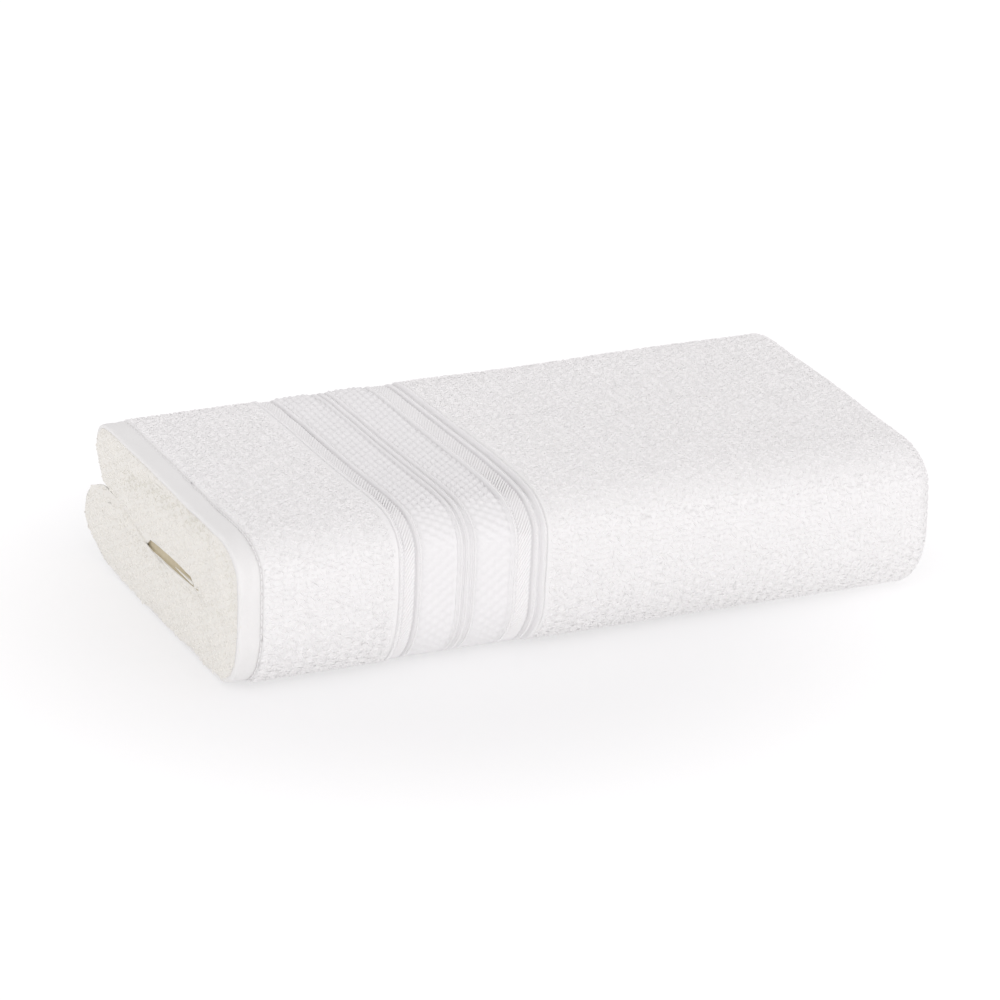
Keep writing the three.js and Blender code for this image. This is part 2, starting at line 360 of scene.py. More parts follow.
def swell(t, s, inset):
    """The fold at the left end: t runs from 0, on the ply under the hems, to 1, on the innermost.

    The inset is how deep under the fold's face the point lies."""
    t, s = np.broadcast_arrays(np.asarray(t, float), np.asarray(s, float))
    rows = swell_rows(s)
    feet = [in_section(s, depth) for depth in (NEAR_DEPTH, FAR_DEPTH)]
    width = np.maximum(np.linalg.norm(rows[..., 2:4] - rows[..., 0:2], axis=-1), 1e-6)
    inset = np.minimum(inset, 0.4 * width)
    room = np.maximum(width / 2 - inset, MIN_CORNER)
    corners = [np.clip(r - inset, MIN_CORNER, room) for r in (NEAR_CORNER(s)[..., 0], FAR_CORNER)]
    radius = np.where(t < 0.5, *corners)
    half = np.minimum(t, 1 - t)
    turn = np.clip((half - WALL) / (CORNER - WALL), 0, 1) * math.pi / 2
    face = np.clip((t - CORNER) / (1 - 2 * CORNER), 0, 1)
    x = LEFT + rows[..., 4] + inset + radius * (1 - np.sin(turn))
    root = np.minimum(half / WALL, 1)  # 0 at the foot of the fold's sides and 1 at their top
    x = SWELL_ROOT + (x - SWELL_ROOT) * root
    aside = inset + radius * (1 - np.cos(turn))
    share = np.where(t < 0.5, aside, width - aside) / width
    edges = [np.minimum((inset + corner) / width, 0.5) for corner in corners]
    share = np.where(half >= CORNER, edges[0] + (1 - edges[0] - edges[1]) * face, share)
    w = smoothstep(SWELL_ROOT - 6, LEFT + 3.5, x)[..., None]
    near, far = (foot + (rows[..., k:k + 2] - foot) * w for foot, k in zip(feet, (0, 2)))
    yz = near + (far - near) * share[..., None]
    mottle = 0.35 * np.sin(yz[..., 0] / 7.3 + 0.9) * np.sin(yz[..., 1] / 5.1 + 2.0)
    mottle += 0.2 * np.sin(yz[..., 0] / 4.1 - yz[..., 1] / 6.3)
    slot = ramp("lower_return", 0.86, 0.88, s)
    lip = ramp("lower_return", 0.3, 0.8, s)
    puff = mottle * np.minimum(width / 12, 1)
    puff = puff - (1 - lip) * (0.3 + 0.9 * np.minimum(width / 30, 1)) * np.sin(math.pi * face)
    x = x + (puff * (half >= CORNER) + crease(yz) * root) * (1 - slot)
    return with_x(x, yz)


SWELL_STATIONS = np.concatenate([
    np.linspace(0, WALL, 4)[:-1], np.linspace(WALL, CORNER, 4)[:-1], np.linspace(CORNER, 0.5, 7)])
SWELL_STATIONS = np.concatenate([SWELL_STATIONS, 1 - SWELL_STATIONS[-2::-1]])


# ---- meshes
def place_object(name, data):
    obj = bpy.data.objects.new(name, data)
    bpy.context.scene.collection.objects.link(obj)
    return obj


def make_mesh(name, vertices, faces, uv, smooth=True):
    """A mesh from vertices in millimetres and arrays of faces, one array for each number of sides."""
    loops = np.concatenate([f.ravel() for f in faces]).astype(np.int32)
    sizes = np.concatenate([np.full(len(f), f.shape[1]) for f in faces])
    vertices = np.concatenate([vertices[:, :2], np.maximum(vertices[:, 2:], 0.02)], 1)
    mesh = bpy.data.meshes.new(name)
    mesh.vertices.add(len(vertices))
    mesh.vertices.foreach_set("co", (vertices * MM).astype(np.float32).ravel())
    mesh.loops.add(len(loops))
    mesh.loops.foreach_set("vertex_index", loops)
    mesh.polygons.add(len(sizes))
    mesh.polygons.foreach_set("loop_start", np.concatenate([[0], np.cumsum(sizes)[:-1]]).astype(np.int32))
    mesh.polygons.foreach_set("loop_total", sizes.astype(np.int32))
    mesh.polygons.foreach_set("use_smooth", np.broadcast_to(smooth, len(sizes)).copy())
    mesh.update(calc_edges=True)
    layer = mesh.uv_layers.new(name="OFBake")
    layer.data.foreach_set("uv", uv[loops].astype(np.float32).ravel())
    mesh.validate()
    return place_object(name, mesh)


def fitted(places):
    """A UV map: the places, scaled to fill it."""
    return (places - places.min(0)) / np.ptp(places, axis=0) * 0.98 + 0.01


def join(parts):
    """Joins pairs of vertices and face arrays into one."""
    offset, vertices, faces = 0, [], []
    for points, arrays in parts:
        vertices.append(points)
        faces += [array + offset for array in arrays]
        offset += len(points)
    return np.concatenate(vertices), faces


def grid_quads(rows, columns, start=0, flip=False):
    """The faces of a grid of points that is stored row by row."""
    r, c = np.meshgrid(np.arange(rows - 1), np.arange(columns - 1), indexing="ij")
    v = start + r * columns + c
    quad = np.stack([v, v + 1, v + columns + 1, v + columns], -1).reshape(-1, 4)
    return quad[:, ::-1] if flip else quad


# ---- the cloth: one closed sheet, every ply of it
def hem_droop(x, s):
    """How far the hem's free edge leans in, most of all on the lower fold at the back."""
    share = np.clip((LEFT + HEM - x) / HEM, 0, 1)
    o, _, _ = section(s)
    lower_lobe = ramp("lower_fold", 0.5, 0.7, s)
    return 0.8 * share**2 * np.clip(o[..., 1] / (TOP / 4), 0, 1) + 4 * share * lower_lobe


# How deep the ground weave lies: pressed flat where the pack rests.
GROUND = table(
    upper_return=[(0, 1)],
    upper_fold=[(0, PILE)],
    front_fold=[(0.8, PILE), (1, 0.1)],
    bottom_run=[(0.5, 0.05), (1, 0.1)],
    lower_fold=[(0.12, PILE)],
    lower_return=[(0, PILE), (1, 1)],
)
# The cloth dips to a bed under the border, between two shoulders. In widths between its grooves.
BED_DEPTH = 4.0
BED_LEFT, BED_RIGHT = (-0.15, -0.132), (1.108, 1.124)
SHOULDER_LEFT, SHOULDER_RIGHT = (-0.2, -0.165), (1.14, 1.175)
BED_SHARES = (-0.3, *SHOULDER_LEFT, *BED_LEFT, 0, 0.2, 0.4, 0.6, 0.8, 1, *BED_RIGHT, *SHOULDER_RIGHT, 1.3)


def pressed(s):
    """What share of their depth the border's parts keep: less where they rest on the floor."""
    return 0.4 + 0.6 * off_floor(s)


def outer_depth(x, s):
    """Depth of the cloth's own outer face, under the pile and under the border."""
    share = border_share(x, s)
    bed = smoothstep(*BED_LEFT, share) * (1 - smoothstep(*BED_RIGHT, share))
    shoulder = smoothstep(*SHOULDER_LEFT, share) * (1 - smoothstep(*SHOULDER_RIGHT, share))
    ground = GROUND(s)[..., 0] * (1 - 0.6 * shoulder)
    return ground + (BED_DEPTH * pressed(s) - ground) * bed


# Columns: distance from the outer hem's edge, thickness, how far it curls in.
HEM_PROFILE = [
    (0, 1.0, -0.6), (0.25, 1.6, -0.85), (0.9, 2.0, -0.85), (2.0, 2.2, -0.6), (3.8, HEM_CLOTH, -0.3),
    (5.6, HEM_CLOTH, -0.05), (7.4, HEM_CLOTH, -0.05), (9.2, HEM_CLOTH, 0.05), (10.3, 2.3, 0.05),
    (10.8, 1.6, 0.2), (11.2, 1.5, 0.25), (11.6, 2.2, 0),
]
INNER_HEM_PROFILE = [  # distance from the inner hem's edge, thickness
    (13.5, CLOTH), (12, HEM_CLOTH), (8, HEM_CLOTH), (4, HEM_CLOTH), (1, HEM_CLOTH), (0, 1.4),
]
# How many rows the outer ply has before and after the bed, and the two turns at the right end.
ROWS_BEFORE_BED, ROWS_AFTER_BED, TURN_ROWS, INNER_TURN_ROWS = 10, 35, 15, 8
INNER_PITCH, INNER_MARGIN = 24.0, 12  # the rows' spacing on the plies that don't show


def cloth_rows(s):
    """Every station of the stack as two arrays of points, on the cloth's two faces, for each s."""
    rows = []
    edge0, edge1 = LEFT + EDGES(s)[..., 0], LEFT + EDGES(s)[..., 1]

    def flat(x, *depths):
        rows.append([with_x(x, in_section(s, depth)) for depth in depths])

    def round_turn(centre, radius, angle):
        """Points on a turn at the right end, whose centre lies at that depth."""
        return with_x(TURN_X + radius * math.sin(angle), in_section(s, centre + radius * math.cos(angle)))

    middle, reach = CLOTH / 2, HEM + 0.3
    for inward, thick, curl in HEM_PROFILE:
        x = edge0 + inward * (reach - EDGES(s)[..., 0]) / reach
        ripple = 0.13 * np.sin(s / 5.7 + inward) + 0.09 * np.sin(s / 2.3 - 1.7 * inward)
        sag = hem_droop(x, s) - waves(x, s) + (curl + ripple) * (0.3 + 0.7 * off_floor(s))
        flat(x, middle - thick / 2 + sag, middle + thick / 2 + sag)
    first, last = LEFT + HEM + 1.6, TURN_X - 2
    before, after = border_x(BED_SHARES[0], s), border_x(BED_SHARES[-1], s)
    forward = [first + (before - first) * t for t in np.linspace(0, 1, ROWS_BEFORE_BED + 1)[:-1]]
    forward += [border_x(share, s) for share in BED_SHARES]
    forward += [after + (last - after) * t for t in np.linspace(0, 1, ROWS_AFTER_BED + 1)[1:]]
    for x in forward:
        flat(x, outer_depth(x, s) + sink(x, s), CLOTH)
    # the outer turn
    for angle in np.linspace(0, math.pi, TURN_ROWS):
        a = TURN_X + angle * TURN_RADIUS
        shallow = PILE + (0.3 - PILE) * smoothstep(2.2, 3.0, angle)
        face = outer(a, s, np.minimum(GROUND(s)[..., 0], shallow))
        rows.append([face, round_turn(TURN_RADIUS, TURN_RADIUS - CLOTH, math.pi - angle)])
    # the innermost ply, the fold at the left end, and the ply under the hems
    backward = np.arange(TURN_X - INNER_MARGIN, SWELL_ROOT + 4, -INNER_PITCH)
    for x in backward:
        flat(x, STACK, STACK - CLOTH)
    for station in SWELL_STATIONS[::-1]:
        rows.append([swell(station, s, END_PILE), swell(station, s, CLOTH)])
    for x in backward[::-1]:
        flat(x, NEAR_DEPTH, NEAR_DEPTH + CLOTH)
    # the inner turn, and back to the other hem
    centre, radius = (3 * PITCH + CLOTH) / 2, PITCH / 2
    for angle in np.linspace(0, math.pi, INNER_TURN_ROWS):
        rows.append([round_turn(centre, radius + side * CLOTH / 2, angle) for side in (-1, 1)])
    for x in np.arange(TURN_X - INNER_MARGIN, LEFT + HEM + 14, -INNER_PITCH):
        flat(x, PITCH + CLOTH, PITCH)
    for inward, thick in INNER_HEM_PROFILE:
        x = edge1 + inward
        sag = 0.8 * hem_droop(x, s)
        rise = middle if thick == CLOTH else HEM_CLOTH / 2  # the thin hem lies against the outer one
        flat(x, PITCH + rise + thick / 2 + sag, PITCH + rise - thick / 2 + sag)
    return rows


def closed_sheet(name, face_0, face_1):
    """Two grids of points, joined along their four edges."""
    rows, columns = face_0.shape[:2]
    vertices = np.concatenate([face_0.reshape(-1, 3), face_1.reshape(-1, 3)])
    half = rows * columns
    r, c = np.arange(rows), np.arange(columns)
    rim = []
    first, last = (r * columns, False), (r * columns + columns - 1, True)
    for ids, flip in (first, last, (c, True), (half - columns + c, False)):
        strip = np.stack([ids[:-1], ids[1:], ids[1:] + half, ids[:-1] + half], 1)
        rim.append(strip[:, ::-1] if flip else strip)
    quads = np.concatenate([grid_quads(rows, columns), grid_quads(rows, columns, half, True), *rim])
    u = np.repeat(np.linspace(0.005, 0.495, rows), columns)
    v = np.tile(np.linspace(0.01, 0.99, columns), rows)
    uv = np.concatenate([np.stack([u, v], 1), np.stack([u + 0.5, v], 1)])
    return make_mesh(name, vertices, [quads], uv)


def even(start, end, pitch):
    """Evenly spaced places, about a pitch apart."""
    return np.linspace(start, end, max(2, round((end - start) / pitch) + 1))


# Columns of the sheet, close together at the slot's two ends.
stops = (0, at("upper_return", 0.36), at("upper_return", 0.48), at("lower_return", 0.75), S_END)
columns = [even(*span)[1:] for span in zip(stops, stops[1:], (4.0, 0.7, 4.0, 0.6))]
columns = np.concatenate([[0], *columns])
pairs = cloth_rows(columns)
cloth = closed_sheet("towel_cloth", np.stack([p[0] for p in pairs]), np.stack([p[1] for p in pairs]))

# The hem has its own look; the slot and the end carry painted shade, in the order of the cloth's materials.
GROUND_LOOK, HEM_LOOK, SLOT_PAINTED_SHADE_LOOK, END_PAINTED_WARM_LOOK = range(4)
corners = np.empty(len(cloth.data.polygons) * 4, np.int32)
cloth.data.polygons.foreach_get("vertices", corners)
row, column = np.divmod(corners.reshape(-1, 4) % (len(pairs) * len(columns)), len(columns))
in_hem = (row.max(1) < len(HEM_PROFILE)) | (row.min(1) >= len(pairs) - len(INNER_HEM_PROFILE))
behind_top = len(HEM_PROFILE) + len(BED_SHARES)
end_rows = [k for k, (face, _) in enumerate(pairs) if k > behind_top and face[0, 0] < SWELL_ROOT + 1]
in_end = np.isin(row.min(1), end_rows)
# the slot's faces take a tan: painted warm shade in the deep gap between the plies
in_slot = (columns[column.min(1)] > at("lower_return", 0.87)) & in_end
look = np.select([in_slot, in_end, in_hem], [SLOT_PAINTED_SHADE_LOOK, END_PAINTED_WARM_LOOK, HEM_LOOK], GROUND_LOOK)
cloth.data.polygons.foreach_set("material_index", look.astype(np.int32))


def tube_shells(path, side, up, radius, sides, mirrored):
    """Closed tubes round many paths: vertices and faces. Paths and directions are (tubes, points, 3)."""
    ring = np.linspace(0, 2 * math.pi, sides, endpoint=False)[:, None] + math.pi / 2
    around = np.cos(ring) * side[:, :, None] + np.sin(ring) * up[:, :, None]
    points = path[:, :, None] + radius[:, :, None, None] * around
    count, steps = path.shape[:2]
    k, m = np.meshgrid(np.arange(steps - 1) * sides, np.arange(sides), indexing="ij")
    after = (m + 1) % sides
    quad = np.stack([k + m, k + sides + m, k + sides + after, k + after], -1).reshape(-1, 4)
    caps = np.stack([np.arange(sides), steps * sides - 1 - np.arange(sides)])
    if mirrored:
        quad, caps = quad[:, [0, 3, 2, 1]], caps[:, ::-1]
    start = np.arange(count)[:, None, None] * steps * sides
    return points.reshape(-1, 3), [(start + f).reshape(-1, f.shape[1]) for f in (quad, caps)]


def tubes(points, normals, radius, sides):
    """Closed tubes along many lines of equal length: points and normals are (lines, points, 3)."""
    way = unit(np.gradient(points, axis=1))
    side = unit(np.cross(way, normals))
    radius = np.broadcast_to(radius, points.shape[:2])
    return tube_shells(points, side, np.cross(side, way), radius, sides, False)


# ---- the pile
def local_frames(surface, a, b):
    """Places, two tangents and the outward normal of a surface at (a, b)."""
    reach = 0.4
    along = unit(surface(a + reach, b) - surface(a - reach, b))
    normal = unit(np.cross(surface(a, b + reach) - surface(a, b - reach), along))
    return surface(a, b), along, np.cross(along, normal), normal


# One loop of yarn, as a path. Columns: along the loop, in spans, and height, in heights.
LOOP_PATH = np.array([(-0.5, -0.4), (-0.36, 0.72), (0.36, 0.72), (0.5, -0.4)])
LOOP_SIDES = 3
ABOVE_FLOOR = 0.05


def loops(frames, lean, height):
    """Loops of yarn, one on each frame: vertices and faces."""
    place, along, across, normal = frames
    n = len(place)
    turn = random.normal(0, 0.8, n)
    lean = random.normal(0, 0.12, (n, 2)) + lean
    height = height * random.uniform(0.8, 1.2, n)
    span = random.uniform(1.2, 1.8, n)
    yarn = random.uniform(0.36, 0.5, n)
    heading = np.cos(turn)[:, None] * along + np.sin(turn)[:, None] * across
    sideways = np.cross(normal, heading)[:, None]
    path = []
    for e, h in LOOP_PATH:
        tilt = max(h, 0) * (lean[:, :1] * along + lean[:, 1:] * across)
        path.append(place + e * span[:, None] * heading + h * height[:, None] * normal + tilt)
    path = np.stack(path, 1)
    way = unit(np.gradient(path, axis=1))
    points, faces = tube_shells(path, sideways, np.cross(way, sideways), yarn[:, None], LOOP_SIDES, True)
    return points, faces, len(LOOP_PATH) * LOOP_SIDES


def bends(surface, a, b, normal):
    """How sharply a surface turns away from its tangent plane, along a and along b."""
    reach, sharpest = 1.5, -0.25
    middle = 2 * surface(a, b)
    turns = [surface(a + u, b + v) + surface(a - u, b - v) - middle for u, v in ((reach, 0), (0, reach))]
    return np.clip(np.stack([(turn * normal).sum(-1) for turn in turns], -1) / reach**2, sharpest, 0)


def pile_piece(name, tuft_frames, tuft_rows, loop_frames, loop_rows, scale=1.0, bend=0.0, extra=()):
    """One piece of pile. The rows' first two columns place its tufts and loops in its UV map."""
    place, along, across, normal = loop_frames
    place = place + (loop_rows[:, 5:6] * scale - 0.1) * normal
    ends = loops((place, along, across, normal), loop_rows[:, 2:4], loop_rows[:, 4] * scale)
    domes = tufts(tuft_frames, tuft_rows[:, 2] * scale, np.broadcast_to(bend, (len(tuft_rows), 2)))
    points, faces = join([ends[:2], domes[:2], *extra])
    points[:, 2] = np.maximum(points[:, 2], ABOVE_FLOOR)
    places = [np.repeat(loop_rows[:, :2], ends[2], axis=0), np.repeat(tuft_rows[:, :2], domes[2], axis=0)]
    places = np.concatenate([*places, *[strand[:, 1:3] for strand, _ in extra]])
    flat = sum(len(array) for array in ends[1])
    smooth = np.arange(sum(len(array) for array in faces)) >= flat
    return make_mesh(name, points, faces, fitted(places), smooth)


# The pile stands in knots on a staggered lattice, each a tuft with loops on it.
KNOT_X, KNOT_S = 5.35, 5.5
TUFT_RADIUS, TUFT_HEIGHT, TUFT_ROOT, TUFT_SIDES = 3.1, 0.7, 0.55, 7
# Columns: along X, along the section, height of the loop above the tuft.
KNOT = np.array([
    (0.1, 0.1, 0.36), (1.75, 0.5, 0.34), (0.2, 1.8, 0.34), (-1.7, 0.85, 0.34), (-1.1, -1.45, 0.34),
    (1.1, -1.5, 0.34),
])
# How much of their height the tufts keep.
RELIEF = table(
    upper_return=[(0, 0.5)],
    top_run=[(0, 0.45), (1, 0.4)],
    front_fold=[(0.2, 0.3), (0.45, 0.35), (0.65, 0.65), (1, 0.7)],
    lower_fold=[(0, 0.7)],
    lower_return=[(1, 0.6)],
)
RIM = np.hypot(KNOT[:, 0], KNOT[:, 1]) / TUFT_RADIUS


def knots(a_low, a_high, s_low, s_high):
    """Places of the tufts. Columns: a, s, height."""
    i = np.arange(math.floor(a_low / KNOT_X), math.ceil(a_high / KNOT_X) + 1)
    j = np.arange(math.floor(s_low / KNOT_S) - 1, math.ceil(s_high / KNOT_S) + 1)
    i, j = (g.ravel() for g in np.meshgrid(i, j, indexing="ij"))
    a = i * KNOT_X + random.normal(0, 0.22, i.shape)
    s = j * KNOT_S + (i % 2) * KNOT_S / 2 + random.normal(0, 0.22, i.shape)
    rows = np.stack([a, s, random.uniform(0.85, 1.1, i.shape) * TUFT_HEIGHT * RELIEF(s)[:, 0]], 1)
    return rows[(a > a_low) & (a < a_high) & (s > s_low) & (s < s_high)]


def loops_of(rows):
    """The loops of each tuft. Columns: a, s, lean along a, lean along s, height, rise on the tuft."""
    jitter = random.normal(0, 0.18, (len(rows), len(KNOT), 2))
    place = rows[:, None, :2] + KNOT[:, :2] + jitter
    lean, rise = KNOT[:, :2] * 0.2, rows[:, 2:3] * (1 - RIM**2)
    columns = (place[..., 0], place[..., 1], lean[:, 0], lean[:, 1], KNOT[:, 2], rise)
    return np.stack(np.broadcast_arrays(*columns), -1).reshape(-1, 6)


def tufts(frames, height, bend):
    """Low domes, one on each frame, whose rims follow the surface's bend: vertices and faces."""
    place, along, across, normal = frames
    n = len(place)
    ring = np.linspace(0, 2 * math.pi, TUFT_SIDES, endpoint=False)
    radius = TUFT_RADIUS * random.uniform(0.88, 1.05, n)
    heading = np.cos(ring)[:, None] * along[:, None] + np.sin(ring)[:, None] * across[:, None]
    bent = bend[:, :1] * np.cos(ring)**2 + bend[:, 1:] * np.sin(ring)**2
    rings = []
    for share, rise in ((1, np.full(n, -TUFT_ROOT)), (0.68, 0.5 * height)):
        reach = share * radius[:, None]
        lift = rise[:, None] + reach**2 / 2 * bent
        rings.append(place[:, None] + reach[..., None] * heading + lift[..., None] * normal[:, None])
    top = (place + height[:, None] * normal)[:, None]
    points = np.concatenate([*rings, top], 1)
    size = points.shape[1]
    start = np.arange(n)[:, None, None] * size
    k = np.arange(TUFT_SIDES)
    after = (k + 1) % TUFT_SIDES
    wall = np.stack([k, after, after + TUFT_SIDES, k + TUFT_SIDES], 1)
    crown = np.stack([k + TUFT_SIDES, after + TUFT_SIDES, np.full(TUFT_SIDES, 2 * TUFT_SIDES)], 1)
    faces = [(start + f[None]).reshape(-1, f.shape[1]) for f in (wall, crown, k[None, ::-1])]
    return points.reshape(-1, 3), faces, size


PILE_START = LEFT + HEM + 0.6
PILE_END = TURN_X + 2.65 * TURN_RADIUS  # most of the way round the right turn


def ground_face(a, s):
    """The ground weave's surface, on which the pile stands."""
    return outer(a, s, GROUND(s)[..., 0])


def outer_pile(name, *spans, a_low=PILE_START - 2):
    """The pile on spans of the outer face, clear of the floor, the hem and the border."""
    def clear(rows, margin):
        """Which rows keep that margin, in the border's widths."""
        a, s = rows[:, 0], rows[:, 1]
        share = border_share(a, s)
        beside = (share < EDGE_1 - margin) | (share > EDGE_2 + margin)
        lifted = (section(s)[0][:, 1] > 0.9) | ((a > TURN_X) & (ground_face(a, s)[:, 2] > 2.5))
        return beside & lifted & (a > PILE_START + BORDER_WIDTH * margin)

    rows = np.concatenate([knots(a_low, PILE_END, *span) for span in spans])
    ends = loops_of(rows)
    ends = ends[clear(ends, 0.008)]
    rows = rows[clear(rows, 0.03)]
    frames = local_frames(ground_face, rows[:, 0], rows[:, 1])
    bend = bends(ground_face, rows[:, 0], rows[:, 1], frames[3])
    return pile_piece(name, frames, rows, local_frames(ground_face, ends[:, 0], ends[:, 1]), ends, bend=bend)


SLOT_RIGHT, SLOT_LEFT = -42, 18  # the slot's two ends, in Y
END_SCALE = 0.4  # how much of its height the end's pile keeps


def by_slot(y, z, room):
    """Whether a point of the end lies within that room of the slot."""
    low_edge, high_edge = 32.6 - 0.02 * (y + 41), 38.4 - 0.01 * (y + 41)
    return SLOT_RIGHT - room < y < SLOT_LEFT + room and low_edge - room < z < high_edge + room


def end_pile():
    """The same pile, pressed shorter, on what shows of the swollen fold from the pack's end."""
    profile, places = np.meshgrid(SWELL_STATIONS, even(0, S_END, 2.0), indexing="ij")
    grid = swell(profile, places, END_PILE)
    tree = BVHTree.FromPolygons(grid.reshape(-1, 3).tolist(), grid_quads(*grid.shape[:2]).tolist())

    places = even(0, S_END, 1.5)
    outline = section(places)[0]
    clearance = np.linalg.norm(swell_rows(places)[:, :2] - outline, axis=1)
    clearance = np.where(EDGES(places)[:, 0] < 3.5, np.minimum(clearance, 5.2) + 0.9, 0.6)

    def land(rows, margin):
        """The rows that have that margin of room on the end, and their frames."""
        place, normal, keep = [], [], []
        creased = crease(rows[:, :2])
        for k, (y, z) in enumerate(rows[:, :2]):
            if margin and 0.15 < creased[k] < 0.9:  # no tufts on the creases' shoulders
                continue
            nearest = np.argmin(np.hypot(*(outline - (y, z)).T))
            if np.hypot(*(outline[nearest] - (y, z))) < clearance[nearest] + margin:
                continue
            hit, face, _, _ = tree.ray_cast(Vector((LEFT - 20, y, z)), Vector((1, 0, 0)))
            on_face = hit is not None and hit.x < LEFT + 3.2 and abs(face.x) > 0.3
            if on_face and not by_slot(y, z, margin + 0.6):
                place.append(hit)
                normal.append(face if face.x < 0 else -face)
                keep.append(k)
        place, normal = np.array(place), np.array(normal)
        across = unit(np.cross(normal, (0.0, 1.0, 0.0)))
        return rows[keep], (place, np.cross(across, normal), across, normal)

    rows = knots(FRONT, BACK, 0, TOP)
    rows[:, 2] = 0.25 * TUFT_HEIGHT
    ends, loop_frames = land(loops_of(rows), 0.0)
    rows, tuft_frames = land(rows, 1.6)
    # a pinched strand of cloth that parts the slot's right half
    t = np.linspace(0, 1, 6)
    strand = np.stack([LEFT + 0.9 - 0.3 * t, -20 - 23 * t, 34.6 + 0.7 * t], 1)
    strand = tubes(strand[None], np.broadcast_to((-1.0, 0.0, 0.0), (1, 6, 3)), 0.15 + 0.55 * t, 6)
    return pile_piece("pile_end", tuft_frames, rows, loop_frames, ends, END_SCALE, extra=[strand])


piles = [
    outer_pile("pile_top", SPAN["top_run"]),
    outer_pile("pile_front", SPAN["front_fold"]),
    outer_pile("pile_back_upper", (at("upper_return", 0.88), SPAN["upper_fold"][1])),
    outer_pile("pile_back_lower", (SPAN["lower_fold"][0], at("lower_return", 0.15))),
    # the turns of the inner folds, seen at the right end
    outer_pile("pile_turns", (4, at("upper_return", 0.88)), SPAN["bottom_run"],
               (at("lower_return", 0.15), S_END - 4), a_low=TURN_X + 0.4 * TURN_RADIUS),
    end_pile(),
]


# ---- strands
def plain_uv(points):
    return fitted(np.stack([points[:, 0], points[:, 1] - points[:, 2]], 1))


def lines_on(a, s, height):
    """Points and normals on the outer face, raised by height, for arrays (lines, points)."""
    place, _, _, normal = local_frames(outer, a, s)
    return place + np.asarray(height)[..., None] * normal, normal


# ---- the border's relief
# Depths are under the pack's outer face, shares are in widths between the first and fourth groove.
PANEL, STRIP = 1.15, 1.25
RIDGES = [  # raised cords: middle, half width, depth of the top
    (-0.13, 0.021, 0.15), (0.034, 0.015, 0.75), (0.3825, 0.012, 0.8), (0.439, 0.016, 0.75),
    (0.499, 0.014, 0.8), (0.852, 0.018, 0.75), (1.033, 0.017, 0.75), (1.106, 0.016, 0.2),
]
GROOVES = [  # middle, half width, depth, how dashed
    (0, 0.0165, 2.6, 0), (0.357, 0.0115, 2, 0.6), (0.408, 0.0125, 2.1, 0), (0.47, 0.0115, 2, 0.3),
    (0.818, 0.0125, 2.1, 0.6), (1, 0.0155, 2.6, 0), (1.067, 0.013, 2.3, 0.2),
]
PANELS = [(0.052, 0.342), (0.516, 0.803)]
STRIPS = [(-0.1, -0.02), (0.873, 0.982)]
CELL_X, CELL_S = 6.6, 5.6  # the size of the panels' checks
WIDE_GROOVE = 2.5  # the depth from which a groove is a wide one
STROKE_PITCH, STROKE_RADIUS, STROKE_SLANT = 2.6, 0.46, math.radians(60)
CORD_STEP, CORD_TWIST = 0.825, 3.3


def on_top(s):
    """1 where the border lies on the pack's top, where its relief is stronger, and 0 elsewhere."""
    outline = section(s)[0]
    return smoothstep(-92, -70, outline[..., 0]) * smoothstep(60, 72, outline[..., 1])


def strip_depth(s):
    return STRIP * (0.66 + 0.34 * on_top(s))


def border_depth(share, x, s):
    """Depth of the border's face: its strips, raised panels, cords and grooves."""
    top_share, strip = on_top(s), strip_depth(s)
    depth = np.broadcast_to(strip, np.broadcast(share, s).shape)
    for start, end in PANELS:
        inside = smoothstep(start - 0.004, start + 0.006, share)
        inside = inside * (1 - smoothstep(end - 0.006, end + 0.004, share))
        lattice = np.cos(2 * math.pi * x / CELL_X) * np.cos(2 * math.pi * s / CELL_S)
        relief = (0.34 + 1.1 * top_share) * np.sign(lattice) * np.abs(lattice) ** 0.8
        depth = depth + (PANEL - relief - depth) * inside
    for middle, half, top in RIDGES:
        t = np.clip(np.abs(share - middle) / half, 0, 1)
        depth = depth + (top - depth) * (1 - t * t)
    for middle, half, bottom, dashed in GROOVES:
        t = np.clip(np.abs(share - middle) / half, 0, 1)
        dash = 1 - dashed * 0.5 * (1 + np.cos(2 * math.pi * s / CELL_S + 2.0))
        bottom = np.minimum(strip + (bottom - STRIP) * (0.8 + 1.5 * top_share), 3.7)
        depth = depth + np.maximum(bottom - depth, 0) * (1 - t**4) * dash
    return depth


def border_columns():
    """Shares across the border, close together where it has cords and grooves."""
    shares = [np.linspace(a, b, round((b - a) * BORDER_WIDTH / 0.75) + 1) for a, b in PANELS]
    shares += [np.linspace(a, b, 5) for a, b in STRIPS]
    for middle, half, _ in RIDGES:
        shares.append(middle + half * np.array([-1, -0.8, -0.4, 0, 0.4, 0.8, 1]))
    for middle, half, _, _ in GROOVES:
        shares.append(middle + half * np.array([-1, -0.75, 0, 0.75, 1]))
    shares.append(np.array(BORDER_EDGES))
    shares = np.sort(np.concatenate(shares))
    keep = [shares[0]]
    for value in shares[1:]:
        if value - keep[-1] > 0.0025:
            keep.append(value)
    return np.array(keep)


BORDER_EDGES = (-0.152, 1.126)
BORDER_RANGE = (at("upper_return", 0.85), at("lower_return", 0.3))


